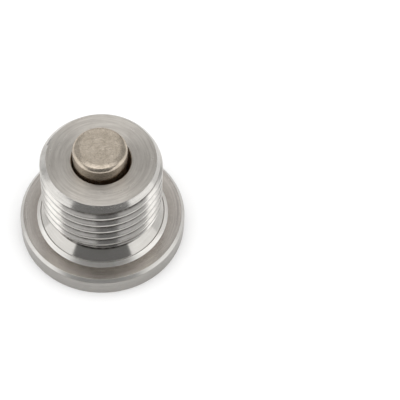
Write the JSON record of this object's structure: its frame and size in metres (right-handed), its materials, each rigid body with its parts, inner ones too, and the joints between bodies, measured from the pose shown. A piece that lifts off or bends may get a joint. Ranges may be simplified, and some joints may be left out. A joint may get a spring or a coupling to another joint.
{
  "type": "oil drain plug",
  "caption": "Magnetic oil drain plug: fine-threaded shank on a flanged round head with a hexagon socket, and a bar magnet standing proud of the shank's end.",
  "frame": {"origin": "centre of the underside of the head, the face that the plug stands on in the picture", "axes": "+Z along the plug's axis from the head to the magnet tip; +Y straight away from the picture's camera, +X to its right"},
  "size_m": [0.022, 0.022, 0.0176],
  "materials": {
    "stainless_steel": "bright turned stainless steel",
    "nickel_plate": "satin nickel plate on a sintered magnet"
  },
  "bodies": {
    "root": {"plug_body": "stainless_steel", "magnet": "nickel_plate"}
  },
  "joints": []
}
